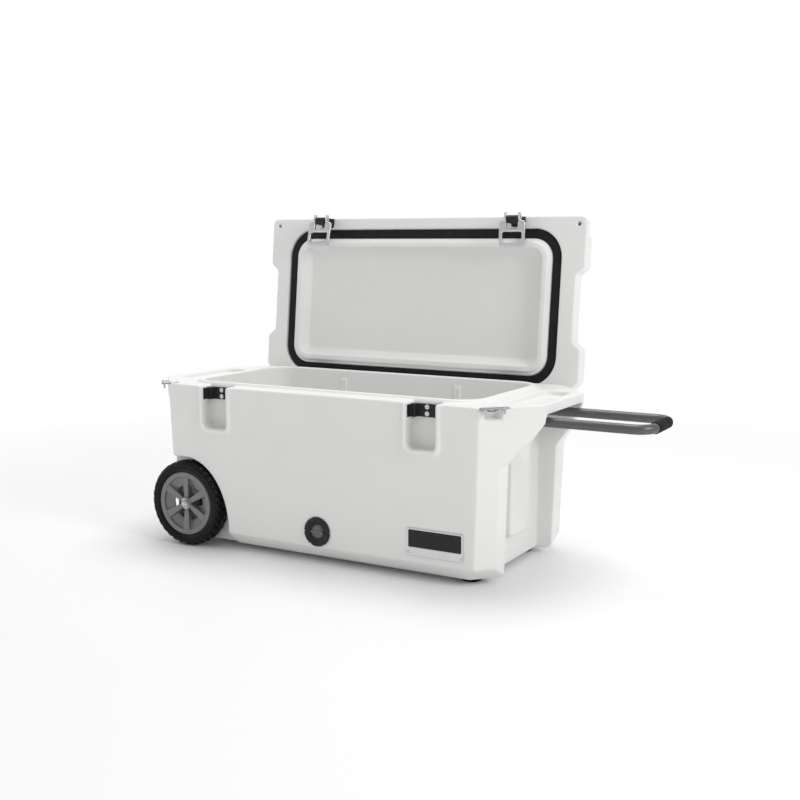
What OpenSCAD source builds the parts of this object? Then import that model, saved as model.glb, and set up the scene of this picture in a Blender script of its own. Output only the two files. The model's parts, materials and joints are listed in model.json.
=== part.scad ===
// Wheeled hard cooler: double-skinned tub with a hinged lid, two lever latches, a fold-down
// tow handle at one end and two wheels at the other. Millimetres, +Z up, floor at Z = 0.
// X runs along the cooler: the wheels are at -X and the tow handle at +X. The front is -Y.
// The lid is shown open, the handle raised and the latch levers hanging from the lid.

/* [Body] */
// Overall length over the two end flanges
body_len = 965; // [880:5:1050]
// Depth of the body at the rim, front to back
body_dep = 424; // [400:2:450]
// Height of the rim above the floor
rim_z = 371; // [360:1:390]
// Gap between the underside and the floor
floor_gap = 12; // [10:1:16]
// Length of the flat part of the front face at the rim
front_len = 776; // [760:2:800]
// Width of the flat part of each end at the rim
end_width = 210; // [190:2:230]
// Footprint scale at the bottom of the side walls, from the draft of the mould
draft = 0.972; // [0.965:0.001:0.985]
// Height of the bevel along the bottom edge
bevel_h = 31; // [20:1:40]

/* [Tub] */
// Inside length at the rim
tub_len = 704; // [680:2:710]
// Inside depth at the rim
tub_dep = 322; // [300:2:326]
// Inside corner radius
tub_r = 50; // [30:1:60]
// Height of the inside floor above the ground
tub_floor = 50; // [45:1:60]
// Height of the sealing bead above the rim
bead_h = 6; // [4:0.5:6]
// Width of the sealing bead
bead_w = 14; // [10:1:16]

/* [Lid] */
// Length of the lid
lid_len = 855; // [840:1:870]
// Depth of the lid, front to back
lid_dep = 414; // [408:1:418]
// Thickness of the lid
lid_t = 52; // [45:1:60]
// Angle at which the lid stands open
lid_open = 96; // [90:1:100]

/* [Latches] */
// Distance of each latch and hinge from the middle of the cooler
latch_x = 260; // [240:1:280]
// Width of a latch lever
lever_w = 64; // [56:1:65]
// Length of a lever below its pivot
lever_len = 66; // [60:1:67]
// Thickness of a lever
lever_t = 8; // [6:0.5:8]
// Outward tilt of the hanging left lever
tilt_left = 14; // [0:1:20]
// Outward tilt of the hanging right lever
tilt_right = 3; // [0:1:20]

/* [Wheels] */
// Wheel radius over the tread
wheel_r = 98; // [95:1:100]
// Tyre width
tyre_w = 46; // [40:1:48]
// Radius of the plastic rim
rim_r = 73; // [68:1:78]
// Axle radius
axle_r = 6; // [5:0.5:8]

/* [Handle] */
// Distance between the two tube centres
handle_w = 150; // [130:2:160]
// Length from the pivot to the middle of the grip
handle_len = 298; // [260:2:300]
// Tube radius
tube_r = 10; // [9:0.5:11]
// Grip radius
grip_r = 12; // [11:0.5:13]

/* [Drain] */
// Drain position along the front face
drain_x = 8; // [-40:1:60]
// Height of the drain centre
drain_z = 76; // [74:1:90]

/* [Hidden] */
$fn = 48;

half_len = body_len / 2;
half_dep = body_dep / 2;
corner_x = front_len / 2;
end_y = end_width / 2;
wall_z0 = floor_gap + bevel_h;
wall_h = rim_z - wall_z0;
band_h = 27;
band_out = 1.0025;

// Corner chamfer: how far it runs in x for each millimetre in y, and its direction
chamfer_dx = half_len - corner_x;
chamfer_dy = half_dep - end_y;
chamfer_turn = atan2(chamfer_dy, chamfer_dx);

// End bays under the flanges
pillar_x = 415;
bay_x = 370;
bay_y = 125;
lip_z = 349;
gusset_z = 247;
gusset_top = 334;

// Tub
tub_x = tub_len / 2;
tub_y = tub_dep / 2;
tub_h = rim_z - tub_floor;
tub_taper = [0.977, 0.957];
ledge_z = rim_z - 16;

// Lid axis and latch pivots
hinge_y = 192;
hinge_z = 351;
pin_r = 4;
lid_z0 = rim_z + 2;
lid_x = lid_len / 2;
lid_y = lid_dep / 2;
groove_z = lid_z0 + 11;
latch_y = -200;
latch_z = 342;
latch_pin_r = 3;
horn_in = 14;
horn_w = 6.5;
lock_x = 408;
lock_y = -189;

// Latch pockets
pocket_w = 68;
pocket_bottom = 274;
pocket_y = 178;
pocket_r = 14;
keeper_z = 339;
keeper_top = 366;

// Wheels
wheel_x = -347;
wheel_out = 219;
well_y = 166;
well_top = 204;
well_rx = 115;

// Handle
pivot_x = 385;
pivot_z = 331;
bend_r = 34;
grip_len = 82;

// Middle of the whole outline, lid and handle included, from the middle of the body
mid_x = (pivot_x + handle_len + grip_r - half_len * band_out) / 2;
mid_y = 42.2;

// Puts the origin on the floor under the middle of the whole outline
module placed() {
    translate([-mid_x, -mid_y, 0]) children();
}

module rounded_rect(hx, hy, r) {
    square([2 * hx, 2 * hy - 2 * r], center = true);
    square([2 * hx - 2 * r, 2 * hy], center = true);
    for (sx = [-1, 1], sy = [-1, 1]) translate([sx * (hx - r), sy * (hy - r)]) circle(r);
}

module box(x0, x1, y0, y1, z0, z1) {
    translate([x0, y0, z0]) cube([x1 - x0, y1 - y0, z1 - z0]);
}

// A cylinder along Y from y0 to y1
module rod_y(r, y0, y1, x = 0, z = 0) {
    translate([x, y1, z]) rotate([90, 0, 0]) cylinder(r = r, h = y1 - y0);
}

// A cylinder along X from x0 to x1
module rod_x(r, x0, x1, y = 0, z = 0) {
    translate([x0, y, z]) rotate([0, 90, 0]) cylinder(r = r, h = x1 - x0);
}

// Turns what is drawn closed to the open position of the lid
module opened() {
    translate([0, hinge_y, hinge_z]) rotate([-lid_open, 0, 0])
        translate([0, -hinge_y, -hinge_z]) children();
}

// ---------- body shell ----------

module footprint() {
    polygon([
        [corner_x, -half_dep], [half_len, -end_y], [half_len, end_y], [corner_x, half_dep],
        [-corner_x, half_dep], [-half_len, end_y], [-half_len, -end_y], [-corner_x, -half_dep]
    ]);
}

module outer_block() {
    translate([0, 0, wall_z0]) linear_extrude(height = wall_h, scale = 1 / draft, slices = 1)
        scale(draft) footprint();
    translate([0, 0, wall_z0]) mirror([0, 0, 1])
        linear_extrude(height = bevel_h, scale = [0.93, 0.835], slices = 1)
            scale(draft) footprint();
    translate([0, 0, rim_z - band_h]) linear_extrude(height = band_h)
        scale(band_out) footprint();
}

// Space under one end flange: a sloping undercut outside the pillars and a bay between them
module end_bay() {
    slope = (gusset_top - gusset_z) / (half_len - pillar_x);
    translate([0, half_dep + 10, 0]) rotate([90, 0, 0]) linear_extrude(height = body_dep + 20)
        polygon([
            [pillar_x - 7, -1], [pillar_x, gusset_z],
            [half_len + 20, gusset_z + slope * (half_len + 20 - pillar_x)], [half_len + 20, -1]
        ]);
    box(bay_x, half_len + 20, -end_y + 8, end_y - 8, -1, lip_z);
    box(bay_x, pillar_x + 30, -bay_y, bay_y, -1, lip_z);
}

// Raised panel in the middle of the handle bay
module bay_panel() {
    translate([bay_x - 5, 0, 0]) rotate([90, 0, 90]) linear_extrude(height = 21)
        translate([0, 210]) rounded_rect(50, 135, 14);
}

module tub() {
    translate([0, 0, rim_z]) mirror([0, 0, 1])
        linear_extrude(height = tub_h, scale = tub_taper, slices = 1)
            rounded_rect(tub_x, tub_y, tub_r);
    translate([0, 0, ledge_z]) linear_extrude(height = 40)
        rounded_rect(tub_x, tub_y, tub_r);
}

// What stays standing in the tub: the step over the axle and the two wheel housings
module tub_steps() {
    box(-tub_x - 5, -318, -tub_y - 5, tub_y + 5, tub_floor - 5, 124);
    for (s = [-1, 1]) translate([0, s * (150 + 10), 0])
        box(-tub_x - 5, -222, -10, 10, tub_floor - 5, 220);
}

// Pairs of ribs that hold a divider board across the tub
module divider_ribs() {
    for (x = [-155, 155], s = [-1, 1], d = [-4.5, 4.5])
        translate([x + d, s * (tub_y - 1), 0]) box(-2, 2, -5, 5, tub_floor - 5, ledge_z);
}

module well_outline() {
    polygon(concat(
        [for (a = [0 : 6 : 90]) [wheel_x + well_rx * cos(a), 50 + (well_top - 50) * sin(a)]],
        [[-half_len - 20, well_top], [-half_len - 20, -1], [wheel_x + well_rx, -1]]
    ));
}

module wheel_wells() {
    for (s = [0, 1]) mirror([0, s, 0]) translate([0, -well_y, 0]) rotate([90, 0, 0])
        linear_extrude(height = 80) well_outline();
}

module pocket_outline(w, bottom, r, top) {
    translate([0, (top + bottom) / 2]) square([w - 2 * r, top - bottom], center = true);
    translate([0, (top + bottom + r) / 2]) square([w, top - bottom - r], center = true);
    for (s = [-1, 1]) translate([s * (w / 2 - r), bottom + r]) circle(r);
}

module pockets() {
    for (x = [-latch_x, latch_x], s = [0, 1]) mirror([0, s, 0])
        translate([x, -pocket_y, 0]) rotate([90, 0, 0]) linear_extrude(height = 60)
            pocket_outline(pocket_w, pocket_bottom, pocket_r, rim_z + 20);
}

module pocket_beads() {
    for (x = [-latch_x, latch_x]) translate([x, -half_dep + 14, 0]) rotate([90, 0, 0])
        linear_extrude(height = 18) pocket_outline(pocket_w + 17, pocket_bottom - 9, 20, rim_z);
}

// Shallow trays in the two end flanges
module flange_trays() {
    for (s = [-1, 1]) translate([s * 429, 0, rim_z - 12]) linear_extrude(height = 20)
        rounded_rect(32, 98, 26);
}

module sealing_bead() {
    difference() {
        translate([0, 0, rim_z - 2]) linear_extrude(height = bead_h + 2)
            rounded_rect(tub_x + bead_w, tub_y + bead_w, tub_r + bead_w);
        translate([0, 0, rim_z - 3]) linear_extrude(height = bead_h + 4)
            rounded_rect(tub_x, tub_y, tub_r);
    }
}

// Places what is drawn in corner axes: x along the chamfer, y outward, at the lock hole
module at_corner(side) {
    mirror([side < 0 ? 1 : 0, 0, 0]) translate([lock_x, lock_y, 0]) rotate([0, 0, chamfer_turn])
        children();
}

module corner_recesses() {
    for (s = [-1, 1]) at_corner(s) {
        box(-18, 18, -13, 20, 345, 370);
        box(-30.2, 30.2, -16.2, 20, 368.4, rim_z + 5);
    }
}

module body_shell() color("white") placed() difference() {
    union() {
        difference() {
            outer_block();
            end_bay();
            mirror([1, 0, 0]) end_bay();
        }
        bay_panel();
        pocket_beads();
        sealing_bead();
    }
    difference() {
        tub();
        tub_steps();
        divider_ribs();
    }
    foam_space();
    wheel_wells();
    pockets();
    flange_trays();
    corner_recesses();
    // Bevel along the rear rim, where the lid turns over the edge
    translate([0, hinge_y, hinge_z]) rotate([-45, 0, 0]) box(-436, 436, -60, 60, 19.2, 60);
    // Seats for the drain, the badge and the axle
    rod_y(32.3, -half_dep - 5, -205, drain_x, drain_z);
    rod_y(18, -half_dep, -140, drain_x, drain_z);
    rod_y(25, -156, -130, drain_x, drain_z);
    box(225.7, 355.3, -half_dep - 5, -205.5, 56.7, 115.3);
    rod_y(axle_r + 4, -half_dep, half_dep, wheel_x, wheel_r);
    rivet_bores();
    screw_bores();
}

// Foam core of the body: front, floor and rear in one piece
module foam_space() difference() {
    union() {
        for (s = [-1, 1]) translate([0, s * 183, 0]) box(-215, 356, -15, 15, 46, 258);
        box(-215, 356, -172, 172, 24, 46);
    }
    for (s = [-1, 1]) translate([356, s * 198, 0]) rotate([0, 0, 45])
        box(-12, 12, -12, 12, 0, 300);
    rod_y(34, -half_dep, -140, drain_x, drain_z);
    box(220, 361, -half_dep, -197, 50, 121);
}

module body_foam() color("khaki") placed() foam_space();

// ---------- drain ----------

module drain_axes() {
    translate([drain_x, 0, drain_z]) rotate([90, 0, 0]) children();
}

// Bezel and threaded sleeve, drawn along +Z as distance from the middle plane
module drain_body() color("#202225") placed() drain_axes() difference() {
    union() {
        translate([0, 0, 205]) cylinder(r = 32, h = 4.5);
        translate([0, 0, 209.5]) cylinder(r1 = 32, r2 = 30, h = 1.5);
        translate([0, 0, 149]) cylinder(r = 18, h = 60);
    }
    translate([0, 0, 140]) cylinder(r = 14, h = 90);
    translate([0, 0, 197]) cylinder(r = 17, h = 20);
    translate([0, 0, 207]) cylinder(r1 = 17, r2 = 25, h = 4.01);
    for (a = [0 : 60 : 300]) rotate([0, 0, a]) translate([31.5, 0, 204]) cylinder(r = 2, h = 8);
}

module drain_nut() color("#202225") placed() drain_axes() translate([0, 0, 149]) difference() {
    cylinder(r = 24, h = 7, $fn = 6);
    translate([0, 0, -1]) cylinder(r = 18, h = 9);
}

module drain_plug() color("#3a3c3f") placed() drain_axes() {
    translate([0, 0, 165]) cylinder(r = 13.5, h = 36);
    translate([0, 0, 199.5]) cylinder(r = 16.5, h = 4);
    translate([0, 0, 203.5]) cylinder(r1 = 16.5, r2 = 11, h = 4.5);
    translate([-15, -2.5, 201]) cube([30, 5, 10.5]);
}

module drain_seal() color("black") placed() drain_axes() translate([0, 0, 197.1]) difference() {
    cylinder(r = 16.5, h = 2.3);
    translate([0, 0, -1]) cylinder(r = 13.6, h = 5);
}

// ---------- wheels and axle ----------

module axle() color("silver") placed() rod_y(axle_r, -half_dep - 5, half_dep + 5, wheel_x, wheel_r);

module axle_sleeves() color("#303236") placed() for (s = [0, 1]) mirror([0, s, 0]) difference() {
    union() {
        rod_y(axle_r + 4, -well_y, -110, wheel_x, wheel_r);
        rod_y(axle_r + 9, -well_y - 3, -well_y, wheel_x, wheel_r);
    }
    rod_y(axle_r, -well_y - 4, -100, wheel_x, wheel_r);
}

module axle_washers() color("silver") placed() for (s = [0, 1], y = [-171, -215.4])
    mirror([0, s, 0]) difference() {
        rod_y(axle_r + 6, y, y + 1.5, wheel_x, wheel_r);
        rod_y(axle_r, y - 1, y + 3, wheel_x, wheel_r);
    }

module axle_caps() color("gainsboro") placed() for (s = [0, 1]) mirror([0, s, 0]) difference() {
    union() {
        rod_y(axle_r + 3.5, -half_dep - 7, -half_dep - 3.6, wheel_x, wheel_r);
        translate([wheel_x, -half_dep - 7, wheel_r]) rotate([90, 0, 0])
            cylinder(r1 = axle_r + 3.5, r2 = axle_r - 1, h = 3);
    }
    rod_y(axle_r, -half_dep - 5, -half_dep, wheel_x, wheel_r);
}

module wheel_axes(side) {
    mirror([0, side > 0 ? 1 : 0, 0]) translate([wheel_x, 0, wheel_r]) rotate([90, 0, 0]) children();
}

// Wheel profiles are drawn along +Z as distance from the middle plane of the cooler
module wheel_rim(side) color("#85878a") placed() wheel_axes(side) difference() {
    union() {
        rotate_extrude($fn = 96) polygon([
            [62, 178], [rim_r - 6, 176], [rim_r - 6, 212], [rim_r, 214], [rim_r - 2, 216.5],
            [66, 214], [62, 200]
        ]);
        rotate_extrude($fn = 96) polygon([[12, 190], [64, 186], [64, 190], [12, 194]]);
        translate([0, 0, 174]) cylinder(r = 14, h = 39.5);
        for (a = [0 : 60 : 300]) rotate([0, 0, a + 30]) translate([0, -6, 188])
            cube([64, 12, 20]);
    }
    translate([0, 0, 170]) cylinder(r = 9, h = 60);
    for (a = [0 : 60 : 300]) rotate([0, 0, a]) translate([22, 0, 180]) cylinder(r = 4.5, h = 20);
}

module wheel_rim_front() wheel_rim(-1);
module wheel_rim_rear() wheel_rim(1);

module wheel_tyre(side) color("#1b1b1c") placed() wheel_axes(side) rotate_extrude($fn = 96) {
    polygon([
        [rim_r - 6, 176], [wheel_r - 12, 173], [wheel_r - 3, 177], [wheel_r, 184],
        [wheel_r, 208], [wheel_r - 3, 215], [wheel_r - 12, wheel_out], [rim_r + 5, 217],
        [rim_r, 214], [rim_r - 6, 212]
    ]);
}

module wheel_tyre_front() wheel_tyre(-1);
module wheel_tyre_rear() wheel_tyre(1);

module wheel_bush(side) color("black") placed() wheel_axes(side) difference() {
    union() {
        translate([0, 0, 173.5]) cylinder(r = 9, h = 40);
        translate([0, 0, 171.2]) cylinder(r = 12, h = 2.6);
    }
    translate([0, 0, 170]) cylinder(r = axle_r + 0.06, h = 50);
}

module wheel_bush_front() wheel_bush(-1);
module wheel_bush_rear() wheel_bush(1);

// ---------- latch keepers and hinge brackets ----------

module latch_keeper(x) color("#1d1e20") placed() translate([x, 0, 0]) difference() {
    union() {
        box(-33.9, 33.9, -182, -pocket_y, keeper_z, keeper_top);
        for (s = [-1, 1]) {
            translate([s * 33.2, 0, 0]) box(-0.7, 0.7, -207, -180, keeper_z, keeper_top);
            translate([s * 27, 0, 0]) box(-5, 5, -193.5, -180, keeper_z, keeper_top);
        }
    }
    for (z = keeper_screw_z) rod_y(2.5, -190, -170, 0, z);
}

keeper_screw_z = [346, 360];

module latch_keeper_left() latch_keeper(-latch_x);
module latch_keeper_right() latch_keeper(latch_x);

module hinge_bracket(x) color("#1d1e20") placed() translate([x, 0, 0]) difference() {
    union() {
        box(-33.9, 33.9, pocket_y, 181, 325, keeper_top);
        for (s = [-1, 1]) translate([s * 25, 0, 0]) {
            box(-8, 8, 180, hinge_y, 325, hinge_z + 12);
            rod_x(12, -8, 8, hinge_y, hinge_z);
        }
    }
    rod_x(pin_r, -40, 40, hinge_y, hinge_z);
    for (z = bracket_screw_z) rod_y(2.5, 170, 190, 0, z);
}

bracket_screw_z = [331, 361];

module hinge_bracket_left() hinge_bracket(-latch_x);
module hinge_bracket_right() hinge_bracket(latch_x);

module hinge_pin(x) color("silver") placed() rod_x(pin_r, x - 33, x + 33, hinge_y, hinge_z);

module hinge_pin_left() hinge_pin(-latch_x);
module hinge_pin_right() hinge_pin(latch_x);

// A pan-head screw whose head sits on y and whose shank runs towards +Y
module pan_screw(r, y, len) {
    rod_y(r, y, y + len);
    rod_y(2 * r, y - 2, y);
}

module screw_places(zs, y, flip) {
    for (x = [-latch_x, latch_x], z = zs) mirror([0, flip, 0]) translate([x, 0, z])
        pan_screw(2.5, y, 12);
}

module keeper_screws() color("silver") placed() screw_places(keeper_screw_z, -182, 0);
module hinge_bracket_screws() color("silver") placed() screw_places(bracket_screw_z, -181, 1);

module screw_bores() {
    for (x = [-latch_x, latch_x]) {
        for (z = keeper_screw_z) rod_y(2.5, -pocket_y - 1, -170, x, z);
        for (z = bracket_screw_z) rod_y(2.5, 169, pocket_y + 1, x, z);
    }
    for (s = [-1, 1]) {
        at_corner(s) for (u = [-20, 20]) translate([u, -10, 356]) cylinder(r = 2, h = 15);
        for (p = bracket_screw_places) rod_x(2.5, bay_x - 10, bay_x + 1, s * p[0], p[1]);
        translate([foot_x, s * foot_y, floor_gap - 1]) cylinder(r = 3, h = 9);
    }
}

// ---------- lock plates with bottle opener ----------

// A flat plate with a ring at its edge that hangs down in front of the notch
module lock_plate(side) color("silver") placed() at_corner(side) translate([0, 0, 368.5]) {
    difference() {
        translate([-30, -16, 0]) cube([60, 16, 2.5]);
        for (u = [-20, 20]) translate([u, -10, -1]) cylinder(r = 2, h = 5);
    }
    translate([0, -1.6, 0]) rotate([-ring_tilt, 0, 0]) linear_extrude(height = 2.5) difference() {
        intersection() {
            circle(r = 14);
            translate([-15, 0.4]) square([30, 15]);
        }
        translate([0, 2.6]) intersection() {
            circle(r = 8.4);
            translate([-9, 0]) square([18, 9]);
        }
    }
}

ring_tilt = 38;

module lock_plate_left() lock_plate(-1);
module lock_plate_right() lock_plate(1);

module lock_plate_screws() color("silver") placed() for (s = [-1, 1]) at_corner(s)
    for (u = [-20, 20]) translate([u, -10, 358]) {
        cylinder(r = 2, h = 13);
        translate([0, 0, 13]) cylinder(r1 = 4, r2 = 3, h = 1.2);
    }

// ---------- badge ----------

badge_x = 290.5;
badge_z = 86;

module badge_axes() {
    translate([badge_x, 0, badge_z]) rotate([90, 0, 0]) children();
}

module badge_plate() color("silver") placed() badge_axes() difference() {
    translate([0, 0, 205.5]) linear_extrude(height = 3) rounded_rect(64, 29, 3);
    translate([0, 7, 207.2]) linear_extrude(height = 3) rounded_rect(60, 18, 2);
    for (x = [-60, 60]) translate([x, -22, 200]) cylinder(r = 1.5, h = 10);
}

module badge_inlay() color("#2b2c2f") placed() badge_axes() translate([0, 7, 207.2])
    linear_extrude(height = 0.8) rounded_rect(60, 18, 2);

module badge_rivets() color("silver") placed() badge_axes() for (x = [-60, 60]) translate([x, -22, 200]) {
    cylinder(r = 1.5, h = 8.5);
    translate([0, 0, 8.5]) cylinder(r = 2.5, h = 0.8);
}

module rivet_bores() {
    badge_axes() for (x = [-60, 60]) translate([x, -22, 199]) cylinder(r = 1.5, h = 8);
}

// ---------- tow handle ----------

// Screw places of one handle bracket as [y, z]
bracket_screw_places = [[handle_w / 2 - 20, 318], [handle_w / 2 + 20, 318],
                        [handle_w / 2 - 20, 342], [handle_w / 2 + 20, 342]];

module handle_bracket(s) color("#2a2b2e") placed() translate([0, s * handle_w / 2, 0]) difference() {
    union() {
        box(bay_x, bay_x + 3, -24.6, 24.6, 312, 348);
        for (d = [-1, 1]) translate([0, d * 13, 0]) {
            box(bay_x, pivot_x, -2, 2, 320, 342);
            rod_y(11, -2, 2, pivot_x, pivot_z);
        }
    }
    rod_y(4, -20, 20, pivot_x, pivot_z);
    for (d = [-20, 20], z = [318, 342]) rod_x(2.5, bay_x - 1, bay_x + 5, d, z);
}

module handle_bracket_front() handle_bracket(-1);
module handle_bracket_rear() handle_bracket(1);

module handle_bracket_screws() color("silver") placed() for (s = [-1, 1], p = bracket_screw_places) {
    rod_x(2.5, bay_x - 9, bay_x + 3, s * p[0], p[1]);
    rod_x(4.5, bay_x + 3, bay_x + 5.5, s * p[0], p[1]);
}

module handle_pivot_bolts() color("silver") placed() for (s = [-1, 1]) translate([0, s * handle_w / 2, 0]) {
    rod_y(4, -18, 18, pivot_x, pivot_z);
    for (d = [-1, 1]) translate([0, d * 16.5, 0]) rod_y(7, -1.5, 1.5, pivot_x, pivot_z);
}

// One corner of the U: a quarter bend between a side tube and the cross tube
module tube_bend(r, side) {
    translate([pivot_x + handle_len - bend_r, side * (handle_w / 2 - bend_r), pivot_z])
        rotate([0, 0, side > 0 ? 0 : -90]) rotate_extrude(angle = 90) translate([bend_r, 0])
            circle(r);
}

module tube_path(r) {
    straight = handle_len - bend_r;
    for (s = [-1, 1]) {
        rod_x(r, pivot_x, pivot_x + straight, s * handle_w / 2, pivot_z);
        tube_bend(r, s);
    }
    rod_y(r, -handle_w / 2 + bend_r, handle_w / 2 - bend_r, pivot_x + handle_len, pivot_z);
}

module handle_tube() color("#6b6d70") placed() difference() {
    union() {
        tube_path(tube_r);
        for (s = [-1, 1]) rod_y(tube_r, s * handle_w / 2 - tube_r,
            s * handle_w / 2 + tube_r, pivot_x, pivot_z);
    }
    for (s = [-1, 1]) rod_y(6, s * handle_w / 2 - 12, s * handle_w / 2 + 12, pivot_x, pivot_z);
}

module handle_bushes() color("black") placed() for (s = [-1, 1]) translate([0, s * handle_w / 2, 0])
    difference() {
        union() {
            rod_y(6, -10.6, 10.6, pivot_x, pivot_z);
            for (d = [-1, 1]) translate([0, d * 10.3, 0]) rod_y(9, -0.3, 0.3, pivot_x, pivot_z);
        }
        rod_y(4.05, -12, 12, pivot_x, pivot_z);
    }

module handle_grip() color("#232325") placed() difference() {
    rod_y(grip_r, -grip_len / 2, grip_len / 2, pivot_x + handle_len, pivot_z);
    rod_y(tube_r, -grip_len, grip_len, pivot_x + handle_len, pivot_z);
}

// ---------- feet ----------

foot_x = 335;
foot_y = 128;

module rubber_feet() color("#151515") placed() for (s = [-1, 1]) translate([foot_x, s * foot_y, 0])
    difference() {
        cylinder(r1 = 21, r2 = 24, h = floor_gap);
        translate([0, 0, -1]) cylinder(r = 7, h = 5);
        cylinder(r = 3, h = 30);
    }

module foot_screws() color("silver") placed() for (s = [-1, 1]) translate([foot_x, s * foot_y, 0]) {
    translate([0, 0, 4]) cylinder(r = 3, h = 16);
    translate([0, 0, 1]) cylinder(r = 6, h = 3);
}

// ---------- lid ----------

// Outline of the lid with its bevelled rear corners and the hand gaps at its ends
module lid_outline(grow = 0) {
    difference() {
        union() {
            translate([0, -8]) rounded_rect(lid_x + grow, lid_y - 8 + grow, 14);
            polygon([
                [-lid_x - grow, 0], [lid_x + grow, 0], [lid_x + grow, 165],
                [lid_x - 41 + grow / 2, lid_y + grow], [41 - lid_x - grow / 2, lid_y + grow],
                [-lid_x - grow, 165]
            ]);
        }
        for (s = [-1, 1]) mirror([s < 0 ? 1 : 0, 0]) {
            polygon([[lid_x + 20, -108], [lid_x - 20, -75], [lid_x - 20, 75], [lid_x + 20, 108]]);
            polygon([
                [lid_x + 20 + grow, 145], [lid_x - 41 + grow / 2, lid_y + grow],
                [lid_x + 20, lid_y + 30]
            ]);
        }
    }
}

module gasket_ring(half_w) {
    mid_x = tub_x + bead_w / 2;
    mid_y = tub_y + bead_w / 2;
    difference() {
        rounded_rect(mid_x + half_w, mid_y + half_w, tub_r + 7 + half_w);
        rounded_rect(mid_x - half_w, mid_y - half_w, tub_r + 7 - half_w);
    }
}

// Slots in the lid edge that take the latch blocks and the hinge arms
module edge_slots() {
    for (x = [-latch_x, latch_x], s = [0, 1]) mirror([0, s, 0])
        box(x - 16.7, x + 16.7, -lid_y - 5, -184, lid_z0 - 1, lid_z0 + 27);
}

module lid_screw_places() {
    for (x = [-latch_x, latch_x], s = [0, 1], d = [-10, 10]) mirror([0, s, 0])
        translate([x + d, 0, lid_z0 + 18]) children();
}

module lid_shell() color("white") placed() opened() difference() {
    union() {
        translate([0, 0, lid_z0]) linear_extrude(height = lid_t - 14) lid_outline();
        translate([0, 0, lid_z0 + lid_t - 14]) linear_extrude(height = 14, scale = 0.965, slices = 1)
            lid_outline();
        translate([0, 0, lid_z0 - 7]) linear_extrude(height = 8) difference() {
            rounded_rect(tub_x - 11, tub_y - 12, 40);
            rounded_rect(tub_x - 26, tub_y - 27, 26);
        }
    }
    translate([0, 0, groove_z - 12]) linear_extrude(height = 12) gasket_ring(11.5);
    // Recessed inner panel with sloping sides
    translate([0, 0, lid_z0 - 0.01]) linear_extrude(height = 18, scale = [0.951, 0.888], slices = 1)
        rounded_rect(tub_x - 26, tub_y - 27, 14);
    // Corner cut-backs and a shallow tray in the top
    for (sx = [-1, 1]) translate([sx * (lid_x + 2), -lid_y, 0])
        box(-12, 12, -20, 44, lid_z0 + 22, lid_z0 + lid_t + 5);
    translate([0, 0, lid_z0 + lid_t - 4]) linear_extrude(height = 10)
        rounded_rect(lid_x - 60, lid_y - 52, 30);
    edge_slots();
    for (s = [-1, 1]) translate([s * lock_x, lock_y, lid_z0 - 1]) cylinder(r = 4.8, h = lid_t + 2);
    lid_screw_places() rod_y(2, -186, -172);
    foam_in_lid();
}

module foam_in_lid() {
    box(-395, 395, -160, 160, lid_z0 + 22, lid_z0 + lid_t - 9);
}

module lid_foam() color("khaki") placed() opened() foam_in_lid();

module lid_gasket() color("#1a1a1b") placed() opened()
    translate([0, 0, rim_z + bead_h + 0.4]) linear_extrude(height = groove_z - rim_z - bead_h - 0.4)
        gasket_ring(10.5);

module latch_block(x) color("#1d1e20") placed() opened() translate([x, 0, 0]) difference() {
    union() {
        box(-16.5, 16.5, -206.5, -184, lid_z0, lid_z0 + 26);
        box(-13.6, 13.6, -206, -188, latch_z, lid_z0);
        translate([0, 3, 0]) rod_x(9, -13.6, 13.6, latch_y, latch_z);
    }
    rod_x(latch_pin_r + 0.05, -20, 20, latch_y, latch_z);
    for (d = [-10, 10]) rod_y(2, -210, -180, d, lid_z0 + 18);
}

module latch_block_left() latch_block(-latch_x);
module latch_block_right() latch_block(latch_x);

module hinge_arm(x) color("#1d1e20") placed() opened() translate([x, 0, 0]) difference() {
    union() {
        box(-16.5, 16.5, 184, 206.5, lid_z0, lid_z0 + 26);
        box(-14, 14, 184, 201, hinge_z, lid_z0);
        rod_x(9, -16, 16, hinge_y, hinge_z);
    }
    rod_x(pin_r + 0.05, -20, 20, hinge_y, hinge_z);
    for (d = [-10, 10]) rod_y(2, 180, 210, d, lid_z0 + 18);
}

module hinge_arm_left() hinge_arm(-latch_x);
module hinge_arm_right() hinge_arm(latch_x);

module lid_screws() color("silver") placed() opened() lid_screw_places() {
    rod_y(2, -206.5, -173);
    rod_y(3.6, -208.2, -206.5);
}

// ---------- latch levers ----------

// Pivot of the latches once the lid stands open
pivot_open_y = hinge_y + (latch_y - hinge_y) * cos(lid_open) + (latch_z - hinge_z) * sin(lid_open);
pivot_open_z = hinge_z - (latch_y - hinge_y) * sin(lid_open) + (latch_z - hinge_z) * cos(lid_open);

module latch_pin(x) color("silver") placed()
    rod_x(latch_pin_r, x - horn_in - horn_w - 1, x + horn_in + horn_w + 1, pivot_open_y, pivot_open_z);

module latch_pin_left() latch_pin(-latch_x);
module latch_pin_right() latch_pin(latch_x);

// A lever hanging straight down from its pivot, which is the origin
module lever() difference() {
    w = lever_w / 2;
    union() {
        translate([0, lever_t / 2, 0]) rotate([90, 0, 0]) linear_extrude(height = lever_t)
            difference() {
                union() {
                    translate([0, -(lever_len + 6) / 2]) rounded_rect(w, (lever_len - 6) / 2, 8);
                    for (s = [-1, 1]) translate([s * (horn_in + horn_w / 2), 0]) {
                        translate([0, -5]) square([horn_w, 30], center = true);
                        translate([0, 10]) circle(horn_w / 2);
                    }
                }
                translate([0, -44]) rounded_rect(w - 8, 12, 3);
                translate([0, -14]) square([2 * horn_in, 20], center = true);
            }
        for (s = [-1, 1]) translate([s * (horn_in + horn_w / 2), 0, 0])
            rod_x(6.5, -horn_w / 2, horn_w / 2);
    }
    rod_x(latch_pin_r + 0.05, -w, w);
}

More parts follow.
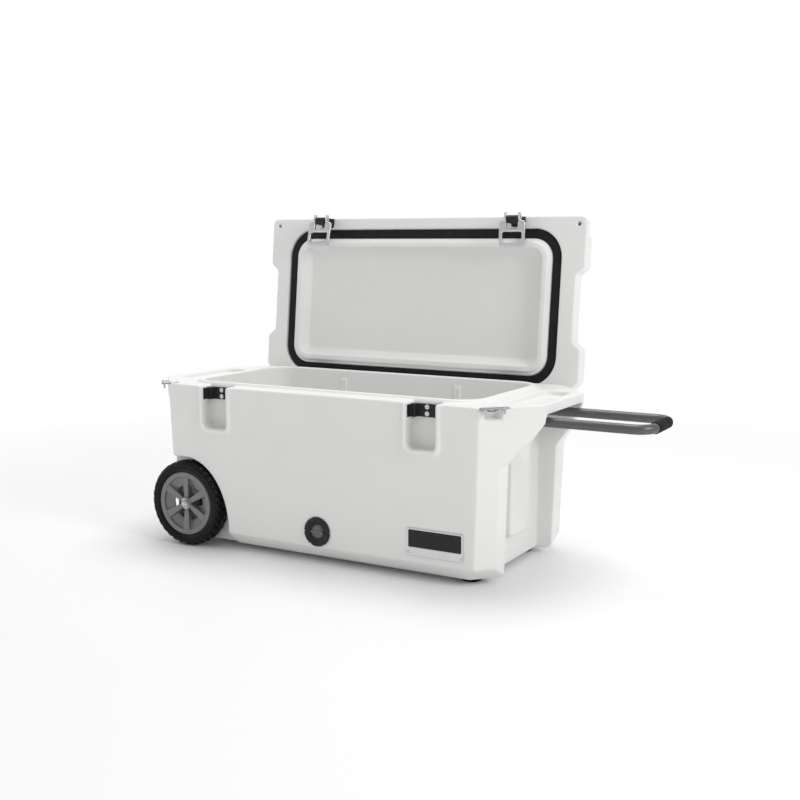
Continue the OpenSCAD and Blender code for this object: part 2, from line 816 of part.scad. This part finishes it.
module hung_lever(x, tilt) color("gainsboro") placed()
    translate([x, pivot_open_y, pivot_open_z]) rotate([-tilt, 0, 0]) lever();

module latch_lever_left() hung_lever(-latch_x, tilt_left);
module latch_lever_right() hung_lever(latch_x, tilt_right);

body_shell();
body_foam();
drain_body();
drain_nut();
axle();
axle_sleeves();
axle_washers();
axle_caps();
latch_keeper_left();
latch_keeper_right();
keeper_screws();
hinge_bracket_left();
hinge_bracket_right();
hinge_bracket_screws();
hinge_pin_left();
hinge_pin_right();
lock_plate_left();
lock_plate_right();
lock_plate_screws();
badge_plate();
badge_inlay();
badge_rivets();
handle_bracket_front();
handle_bracket_rear();
handle_bracket_screws();
handle_pivot_bolts();
rubber_feet();
foot_screws();
lid_shell();
lid_foam();
lid_gasket();
latch_block_left();
latch_block_right();
hinge_arm_left();
hinge_arm_right();
lid_screws();
latch_pin_left();
latch_pin_right();
latch_lever_left();
latch_lever_right();
handle_tube();
handle_grip();
handle_bushes();
wheel_rim_front();
wheel_rim_rear();
wheel_tyre_front();
wheel_tyre_rear();
wheel_bush_front();
wheel_bush_rear();
drain_plug();
drain_seal();
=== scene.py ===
import json
import math

import bmesh
import bpy
import numpy as np
import openvdb
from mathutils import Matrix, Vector


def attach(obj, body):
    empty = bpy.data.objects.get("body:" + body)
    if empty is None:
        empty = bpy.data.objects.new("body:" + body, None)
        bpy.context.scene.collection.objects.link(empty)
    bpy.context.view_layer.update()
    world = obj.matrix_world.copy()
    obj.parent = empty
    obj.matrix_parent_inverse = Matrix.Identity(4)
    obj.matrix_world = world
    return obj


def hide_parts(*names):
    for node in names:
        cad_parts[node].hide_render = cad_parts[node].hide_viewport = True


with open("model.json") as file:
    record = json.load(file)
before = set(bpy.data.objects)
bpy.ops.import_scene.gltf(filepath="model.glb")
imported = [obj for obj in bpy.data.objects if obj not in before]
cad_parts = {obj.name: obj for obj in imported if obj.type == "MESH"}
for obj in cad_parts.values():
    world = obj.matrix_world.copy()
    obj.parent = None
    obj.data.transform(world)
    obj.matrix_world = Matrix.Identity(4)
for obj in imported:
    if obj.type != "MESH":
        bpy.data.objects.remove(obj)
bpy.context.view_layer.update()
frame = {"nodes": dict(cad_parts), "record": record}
nodes = frame["nodes"]

# Main places, in metres. The frame's origin is under the middle of the whole outline, so the
# cooler's own middle plane is at y = MID_Y.
MID_Y = -0.0422
WHEEL = (-0.4526, 0.098)    # x and z of the axle
GRIP = (0.5774, 0.331)      # x and z of the middle of the tow grip
TYRE_MID = 0.196            # from the middle plane to the middle of a tyre
RIM_BACK = 0.1755           # from the middle plane to the inner end of a rim
PHOTO_AZIMUTH = 29.6        # degrees round the cooler, where the photograph was taken


# ---------- materials ----------

BUMP_DEPTH = 0.0006


def material(name, color, rough, metal=0.0, bump=0.1, grain=400.0, mottle=0.04, wear=0.15,
             wear_color=None, coat=0.0, specular=0.5):
    """A procedural finish: fine grain in the surface, uneven gloss, and rubbed patches."""
    mat = bpy.data.materials.new(name)
    mat.use_nodes = True
    nt = mat.node_tree
    bsdf = nt.nodes["Principled BSDF"]
    coord = nt.nodes.new("ShaderNodeTexCoord")

    def noise(size, detail=3.0):
        node = nt.nodes.new("ShaderNodeTexNoise")
        node.inputs["Scale"].default_value = size
        node.inputs["Detail"].default_value = detail
        nt.links.new(coord.outputs["Object"], node.inputs["Vector"])
        return node.outputs["Fac"]

    def ranged(value, from_lo, from_hi, to_lo, to_hi):
        node = nt.nodes.new("ShaderNodeMapRange")
        for socket, v in zip(("From Min", "From Max", "To Min", "To Max"),
                             (from_lo, from_hi, to_lo, to_hi)):
            node.inputs[socket].default_value = v
        nt.links.new(value, node.inputs["Value"])
        return node.outputs["Result"]

    def mixed(fac, a, b):
        node = nt.nodes.new("ShaderNodeMix")
        node.data_type = "RGBA"
        nt.links.new(fac, node.inputs["Factor"])
        for socket, v in ((node.inputs[6], a), (node.inputs[7], b)):
            if isinstance(v, (tuple, list)):
                socket.default_value = (*v, 1)
            else:
                nt.links.new(v, socket)
        return node.outputs[2]

    worn = wear_color or tuple(min(1, c * 1.25 + 0.03) for c in color)
    dark = tuple(c * (1 - mottle) for c in color)
    base = mixed(ranged(noise(9.0, 5.0), 0.35, 0.65, 0, 1), dark, color)
    rubbed = ranged(noise(23.0, 8.0), 0.6, 0.75, 0, wear)
    nt.links.new(mixed(rubbed, base, worn), bsdf.inputs["Base Color"])
    nt.links.new(ranged(noise(31.0, 6.0), 0.3, 0.7, rough * 0.85, min(1, rough * 1.2)),
                 bsdf.inputs["Roughness"])
    bsdf.inputs["Metallic"].default_value = metal
    bsdf.inputs["Coat Weight"].default_value = coat
    bsdf.inputs["Specular IOR Level"].default_value = specular
    bumps = nt.nodes.new("ShaderNodeBump")
    bumps.inputs["Strength"].default_value = bump
    bumps.inputs["Distance"].default_value = BUMP_DEPTH
    nt.links.new(noise(grain, 2.0), bumps.inputs["Height"])
    nt.links.new(bumps.outputs["Normal"], bsdf.inputs["Normal"])
    return mat


MATS = {
    "shell_white": material("shell_white", (0.80, 0.80, 0.79), 0.42, bump=0.12, grain=520,
                            mottle=0.02, wear=0.06, wear_color=(0.70, 0.70, 0.68)),
    "foam": material("foam", (0.80, 0.72, 0.45), 0.9, bump=0.5, grain=300),
    "black_plastic": material("black_plastic", (0.014, 0.014, 0.015), 0.42, bump=0.25, grain=900,
                              specular=0.3),
    "plug_grey": material("plug_grey", (0.13, 0.132, 0.136), 0.38, bump=0.25, grain=900),
    "rim_grey": material("rim_grey", (0.19, 0.193, 0.197), 0.3, metal=0.3, bump=0.06, grain=700),
    "steel": material("steel", (0.55, 0.56, 0.57), 0.28, metal=1, bump=0.05, grain=500, wear=0.3),
    "chrome": material("chrome", (0.50, 0.505, 0.51), 0.06, metal=1, bump=0.02, grain=300,
                       wear=0.1),
    "cast_aluminium": material("cast_aluminium", (0.66, 0.665, 0.67), 0.3, metal=1, bump=0.2,
                               grain=800, wear=0.4),
    "tube_grey": material("tube_grey", (0.12, 0.122, 0.126), 0.42, metal=0.6, bump=0.1, grain=1200,
                          wear=0.25),
    "grip_rubber": material("grip_rubber", (0.010, 0.010, 0.011), 0.72, bump=0.6, grain=1300,
                            specular=0.25),
    "tyre_rubber": material("tyre_rubber", (0.005, 0.005, 0.005), 0.32, bump=0.15, grain=700,
                            wear=0.1, wear_color=(0.02, 0.019, 0.018), specular=0.16),
    "gasket_rubber": material("gasket_rubber", (0.008, 0.008, 0.009), 0.6, bump=0.25, grain=900,
                              specular=0.25),
    "badge_dark": material("badge_dark", (0.016, 0.014, 0.015), 0.25, bump=0.05, grain=400,
                           specular=0.25),
    # The lock plates' polished sheet, its colour darkened below steel's as a painted dark reflection
    "sheet_steel": material("sheet_steel", (0.24, 0.245, 0.25), 0.16, metal=1, bump=0.05, grain=500,
                            wear=0.3),
}


# ---------- making pieces ----------

WELD = 2e-6    # metres between corners that are the same corner
TAIL = 2.6     # bell-curve widths after which blurring stops


def add(piece, points, faces, slot, body, stands_for=(), finish=None):
    """A new piece from points and faces, riding on a CAD body, in its slot's finish or another."""
    mesh = bpy.data.meshes.new(piece)
    mesh.from_pydata(points, [], faces)
    mesh.validate()
    mesh.polygons.foreach_set("use_smooth", [True] * len(mesh.polygons))
    obj = bpy.data.objects.new(piece, mesh)
    bpy.context.scene.collection.objects.link(obj)
    mesh.materials.append(MATS[finish or slot])
    even = obj.modifiers.new("even", "WEIGHTED_NORMAL")
    even.weight = 50
    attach(obj, body)
    if stands_for:
        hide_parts(*stands_for)
    return obj


def skin(node, outer_only=False):
    """The welded triangles of a CAD node, as (points, triangles); outer_only drops inner cavities."""
    bm = bmesh.new()
    bm.from_mesh(nodes[node].data)
    bmesh.ops.remove_doubles(bm, verts=bm.verts, dist=WELD)
    bmesh.ops.triangulate(bm, faces=bm.faces)
    if outer_only:
        left, shells = set(bm.verts), []
        while left:
            stack, shell = [left.pop()], set()
            while stack:
                v = stack.pop()
                shell.add(v)
                for e in v.link_edges:
                    w = e.other_vert(v)
                    if w in left:
                        left.remove(w)
                        stack.append(w)
            shells.append(shell)
        shells.sort(key=len)
        inner = [v for shell in shells[:-1] for v in shell]
        bmesh.ops.delete(bm, geom=inner, context="VERTS")
    bm.verts.index_update()
    points = np.array([v.co for v in bm.verts], np.float32)
    tris = np.array([[v.index for v in f.verts] for f in bm.faces], np.int32)
    bm.free()
    return points, tris


def blurred(field, sigma):
    """A copy of the field, averaged with a bell curve of sigma voxels along each axis."""
    reach = max(1, math.ceil(TAIL * sigma))
    weights = np.exp(-0.5 * (np.arange(-reach, reach + 1) / sigma) ** 2)
    weights /= weights.sum()
    for axis in range(3):
        padded = np.pad(field, [(reach, reach) if a == axis else (0, 0) for a in range(3)], "edge")
        total = np.zeros_like(field)
        for k, w in enumerate(weights):
            part = [slice(None)] * 3
            part[axis] = slice(k, k + field.shape[axis])
            total += np.float32(w) * padded[tuple(part)]
        field = total
    return field


def surfaced(field, low, voxel, thin=0.0):
    """Points and faces of the zero level of a distance field whose first sample is at low."""
    grid = openvdb.FloatGrid(float(np.max(field)))
    grid.copyFromArray(field.astype(np.float32))
    grid.transform = openvdb.createLinearTransform(voxelSize=1.0)
    points, tris, quads = grid.convertToPolygons(0.0, thin)
    points = points * voxel + np.asarray(low)
    faces = [tuple(int(i) for i in f[::-1]) for f in (*tris, *quads)]
    a, b, c = (points[[f[k] for f in faces]] for k in range(3))
    volume = np.einsum("ij,ij->i", a, np.cross(b, c)).sum()
    if volume < 0:
        faces = [f[::-1] for f in faces]
    return [tuple(p) for p in points], faces


def soften(piece, node, body, slot, voxel, sigma, thin=0.0, outer_only=False, finish=None):
    """Stands for a CAD node with all its edges rounded."""
    points, tris = skin(node, outer_only)
    band = math.ceil(TAIL * sigma) + 3
    low = points.min(0) - (band + 1) * voxel
    count = np.ceil((points.max(0) - low) / voxel).astype(int) + band + 2
    grid = openvdb.FloatGrid.createLevelSetFromPolygons(
        ((points - low) / voxel).astype(np.float32), triangles=tris,
        transform=openvdb.createLinearTransform(voxelSize=1.0), halfWidth=float(band))
    field = np.zeros(tuple(count), np.float32)
    grid.copyToArray(field)
    field = blurred(field, sigma)
    return add(piece, *surfaced(field, low, voxel, thin), slot, body, (node,), finish)


def lathe(profile, centre, slot, body, piece, stands_for=(), turns=180, shape=None):
    """A ring turned about the Y axis through centre (x, z) from a closed outline of (radius, y),
    where y counts from the cooler's middle plane. shape(r, y, angle) gives another radius."""
    outline = np.array(profile, float)
    points, faces, n = [], [], len(outline)
    for i in range(turns):
        angle = 2 * math.pi * i / turns
        for k, (r, y) in enumerate(outline):
            if shape:
                r = shape(r, y, angle)
            points.append((centre[0] + r * math.sin(angle), MID_Y + y,
                           centre[1] + r * math.cos(angle)))
            j, m = (i + 1) % turns, (k + 1) % n
            faces.append((i * n + k, i * n + m, j * n + m, j * n + k))
    return add(piece, points, faces, slot, body, stands_for)


# ---------- shells ----------

body_voxel, lid_voxel, shell_blur = ((0.0018, 0.0016, 1.2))
soften("cooler_body", "body_shell", "body", "shell_white", body_voxel, shell_blur, thin=0.01,
       outer_only=True)
soften("cooler_lid", "lid_shell", "lid", "shell_white", lid_voxel, shell_blur, thin=0.01,
       outer_only=True)
soften("lid_seal", "lid_gasket", "lid", "gasket_rubber", 0.0015, 1.2, thin=0.01)

# ---------- latches, hinges and fittings ----------

for side in ("left", "right"):
    soften(f"lever_{side}_cast", f"latch_lever_{side}", f"lever_{side}", "cast_aluminium",
           0.0007, 1.6)
    soften(f"keeper_{side}_moulded", f"latch_keeper_{side}", "body", "black_plastic", 0.0007, 1.0)
    soften(f"hinge_base_{side}", f"hinge_bracket_{side}", "body", "black_plastic", 0.0008, 1.0)
    soften(f"latch_block_{side}_moulded", f"latch_block_{side}", "lid", "black_plastic",
           0.0008, 1.2)
    soften(f"hinge_arm_{side}_moulded", f"hinge_arm_{side}", "lid", "black_plastic", 0.0008, 1.2)
    # The lock plates take the darker copy of steel, whose colour is a painted dark reflection
    soften(f"lock_plate_{side}_stamped", f"lock_plate_{side}", "body", "steel", 0.0005, 0.8,
           finish="sheet_steel")

soften("badge_frame", "badge_plate", "body", "cast_aluminium", 0.0006, 0.8)
soften("drain_bezel", "drain_body", "body", "black_plastic", 0.0007, 1.0)
soften("drain_knob", "drain_plug", "drain_turn", "plug_grey", 0.0006, 1.2)
soften("feet_moulded", "rubber_feet", "body", "tyre_rubber", 0.001, 1.2)

# ---------- wheels ----------

def rim_field(voxel):
    """Distance field of one rim about its own Y axis, with its outer face towards -Y."""
    half, outer, inner = 0.0735, -0.0465, 0.003
    x = np.arange(-half, half, voxel)[:, None, None]
    y = np.arange(outer, inner, voxel)[None, :, None]
    z = np.arange(-half, half, voxel)[None, None, :]
    r = np.sqrt(x * x + z * z)
    spoke_turn = math.pi / 3
    angle = np.mod(np.arctan2(x, z) + spoke_turn / 2, spoke_turn) - spoke_turn / 2
    across = np.abs(r * np.sin(angle))

    def slab(v, lo, hi):
        return np.maximum(lo - v, v - hi)

    def meet(*parts):
        out = parts[0]
        for p in parts[1:]:
            out = np.maximum(out, p)
        return out

    barrel = meet(slab(r, 0.0615 + 0.12 * (y + 0.04), 0.067), slab(y, -0.0385, -0.001))
    flange = meet(slab(r, 0.0605, 0.0722), slab(y, -0.0405, -0.0345))
    web_y = -0.020 - (r - 0.02) * 0.28
    web = meet(np.abs(y - web_y) - 0.0018, r - 0.064)
    window = meet(slab(r, 0.0165, 0.040), 0.0058 + r * 0.05 - across)
    spoke_front = -0.0385 + (0.066 - r) * 0.05
    spoke = meet(across - (0.0045 + r * 0.075), r - 0.064, spoke_front - y, y - web_y)
    hub = meet(r - 0.0145, slab(y, -0.0385, -0.001))
    solid = np.maximum(web, -window)
    for part in (barrel, flange, hub, spoke):
        solid = np.minimum(solid, part)
    bore = 0.009
    return np.maximum(solid, bore - r), (-half, outer, -half)


voxel = 0.0007
field, low = rim_field(voxel)
rim_points, rim_faces = surfaced(blurred((field / voxel).astype(np.float32), 1.3), low, voxel)


def tread(r, y, angle):
    """The tyre's radius with slanting grooves cut into its shoulders; its middle stays whole."""
    grooves, groove_share, groove_depth = 32, 0.38, 0.0036
    from_mid = abs(abs(y) - TYRE_MID)
    fade = min(1, max(0, (r - 0.0915) / 0.003))
    slant = angle * grooves / (2 * math.pi) + from_mid * 45
    if slant % 1 > groove_share or from_mid < 0.0035:
        return r
    return r - fade * groove_depth


tyre_outline = [(0.067, -0.177), (0.074, -0.1748), (0.083, -0.1735), (0.088, -0.1738),
                (0.0925, -0.1755), (0.0952, -0.1785), (0.0966, -0.182)]
tyre_outline += [(0.0980 - 40 * (y + TYRE_MID) ** 2 * 0.35, y) for y in
                 [-0.184 - 0.002 * k for k in range(13)]]
tyre_outline += [(0.0966, -0.210), (0.0952, -0.2135), (0.0925, -0.2165), (0.0895, -0.2180),
                 (0.0885, -0.2187), (0.0870, -0.2187), (0.0860, -0.2178), (0.0825, -0.2176),
                 (0.0815, -0.2184), (0.0795, -0.2184), (0.0785, -0.2174), (0.0755, -0.2165),
                 (0.0728, -0.2150), (0.0722, -0.2130), (0.067, -0.212)]

for side, sign in (("front", 1), ("rear", -1)):
    body = f"wheel_{side}"
    points = [(WHEEL[0] + x, MID_Y + sign * (y - RIM_BACK), WHEEL[1] + z) for x, y, z in rim_points]
    faces = rim_faces if sign > 0 else [f[::-1] for f in rim_faces]
    add(f"rim_{side}_moulded", points, faces, "rim_grey", body, (f"wheel_rim_{side}",))
    outline = [(r, sign * y) for r, y in tyre_outline]
    if sign > 0:
        outline.reverse()
    lathe(outline, WHEEL, "tyre_rubber", body, f"tyre_{side}_moulded", (f"wheel_tyre_{side}",),
          turns=360, shape=tread)

# ---------- tow handle grip ----------

grip_half, grip_bore, grip_edge, grip_radius, groove_radius, rings = (
    0.041, 0.01005, 0.0114, 0.0119, 0.0112, 24)
grip = [(grip_bore, -grip_half), (grip_edge, -grip_half), (grip_radius, -grip_half + 0.001)]
for k in range(rings):
    y = -grip_half + 0.004 + (2 * grip_half - 0.008) * k / (rings - 1)
    grip += [(grip_radius, y - 0.0009), (groove_radius, y), (grip_radius, y + 0.0009)]
grip += [(grip_radius, grip_half - 0.001), (grip_edge, grip_half), (grip_bore, grip_half)]
grip.reverse()
lathe(grip, GRIP, "grip_rubber", "handle", "grip_ribbed", ("handle_grip",), turns=96)

# ---------- finishes of the CAD nodes, seen where no piece stands for them ----------

SLOTS = {p["node"]: p["material_slot"] for p in frame["record"]["subparts"]}
for name, obj in nodes.items():
    obj.data.materials.clear()
    obj.data.materials.append(MATS[SLOTS[name]])

# ---------- studio ----------

def studio_finish():
    """White paper that glows evenly away from the object, so that no horizon shows in front."""
    mat = material("studio", (0.9, 0.9, 0.9), 0.6, bump=0.0, mottle=0.0, wear=0.0)
    nt = mat.node_tree
    coord = nt.nodes.new("ShaderNodeTexCoord")
    length = nt.nodes.new("ShaderNodeVectorMath")
    length.operation = "LENGTH"
    fade = nt.nodes.new("ShaderNodeMapRange")
    fade.inputs["From Min"].default_value = 0.9
    fade.inputs["From Max"].default_value = 2.2
    glow = nt.nodes.new("ShaderNodeEmission")
    mix = nt.nodes.new("ShaderNodeMixShader")
    nt.links.new(coord.outputs["Object"], length.inputs[0])
    nt.links.new(length.outputs["Value"], fade.inputs["Value"])
    nt.links.new(fade.outputs["Result"], mix.inputs["Fac"])
    nt.links.new(nt.nodes["Principled BSDF"].outputs["BSDF"], mix.inputs[1])
    nt.links.new(glow.outputs["Emission"], mix.inputs[2])
    nt.links.new(mix.outputs["Shader"], nt.nodes["Material Output"].inputs["Surface"])
    return mat


def stage_plane():
    """A pale floor that curves up behind the object, seen from the photograph, into a backdrop."""
    across, front, back, bend, top, steps = 9.0, -6.0, 3.5, 2, 7.0, 24
    rows = [(front, 0.0), (back, 0.0)]
    rows += [(back + bend * math.sin(a), bend - bend * math.cos(a)) for a in
             [math.pi / 2 * k / steps for k in range(1, steps + 1)]]
    rows += [(back + bend, top)]
    points = [(x, y, z) for y, z in rows for x in (-across, across)]
    faces = [(2 * i, 2 * i + 1, 2 * i + 3, 2 * i + 2) for i in range(len(rows) - 1)]
    mesh = bpy.data.meshes.new("studio_floor")
    mesh.from_pydata(points, [], faces)
    mesh.polygons.foreach_set("use_smooth", [True] * len(mesh.polygons))
    mesh.materials.append(studio_finish())
    obj = bpy.data.objects.new("studio_floor", mesh)
    bpy.context.scene.collection.objects.link(obj)
    obj.rotation_euler = (0, 0, math.radians(PHOTO_AZIMUTH))


def area(name, place, target, size, power):
    """A round area light of size metres and power watts, aimed from place at target."""
    light = bpy.data.lights.new(name, "AREA")
    light.energy = power
    light.shape = "DISK"
    light.size = size
    obj = bpy.data.objects.new(name, light)
    obj.location = place
    obj.rotation_euler = (Vector(target) - Vector(place)).to_track_quat("-Z", "Y").to_euler()
    bpy.context.scene.collection.objects.link(obj)


stage_plane()
area("key", (3.0, -0.7, 1.8), (0, 0, 0.3), 1.2, 34)
area("top", (-0.2, 0.5, 3.0), (0, 0, 0.2), 1.8, 40)
area("left", (-3.0, -2.2, 1.4), (0, 0, 0.3), 1.4, 4)

world = bpy.data.worlds.new("white")
world.use_nodes = True
world.node_tree.nodes["Background"].inputs["Color"].default_value = (1, 1, 1, 1)
world.node_tree.nodes["Background"].inputs["Strength"].default_value = 0.58
bpy.context.scene.world = world
bpy.context.scene.view_settings.view_transform = "Standard"

camera = bpy.data.objects.new("camera", bpy.data.cameras.new("camera"))
camera.data.lens = 50.4
camera.data.sensor_width = 36
camera.location = (1.2026, -2.1818, 0.6874)
camera.rotation_euler = (Vector((-0.0433, 0.0123, 0.3311)) - camera.location).to_track_quat(
    "-Z", "Y").to_euler()
bpy.context.scene.collection.objects.link(camera)
bpy.context.scene.camera = camera
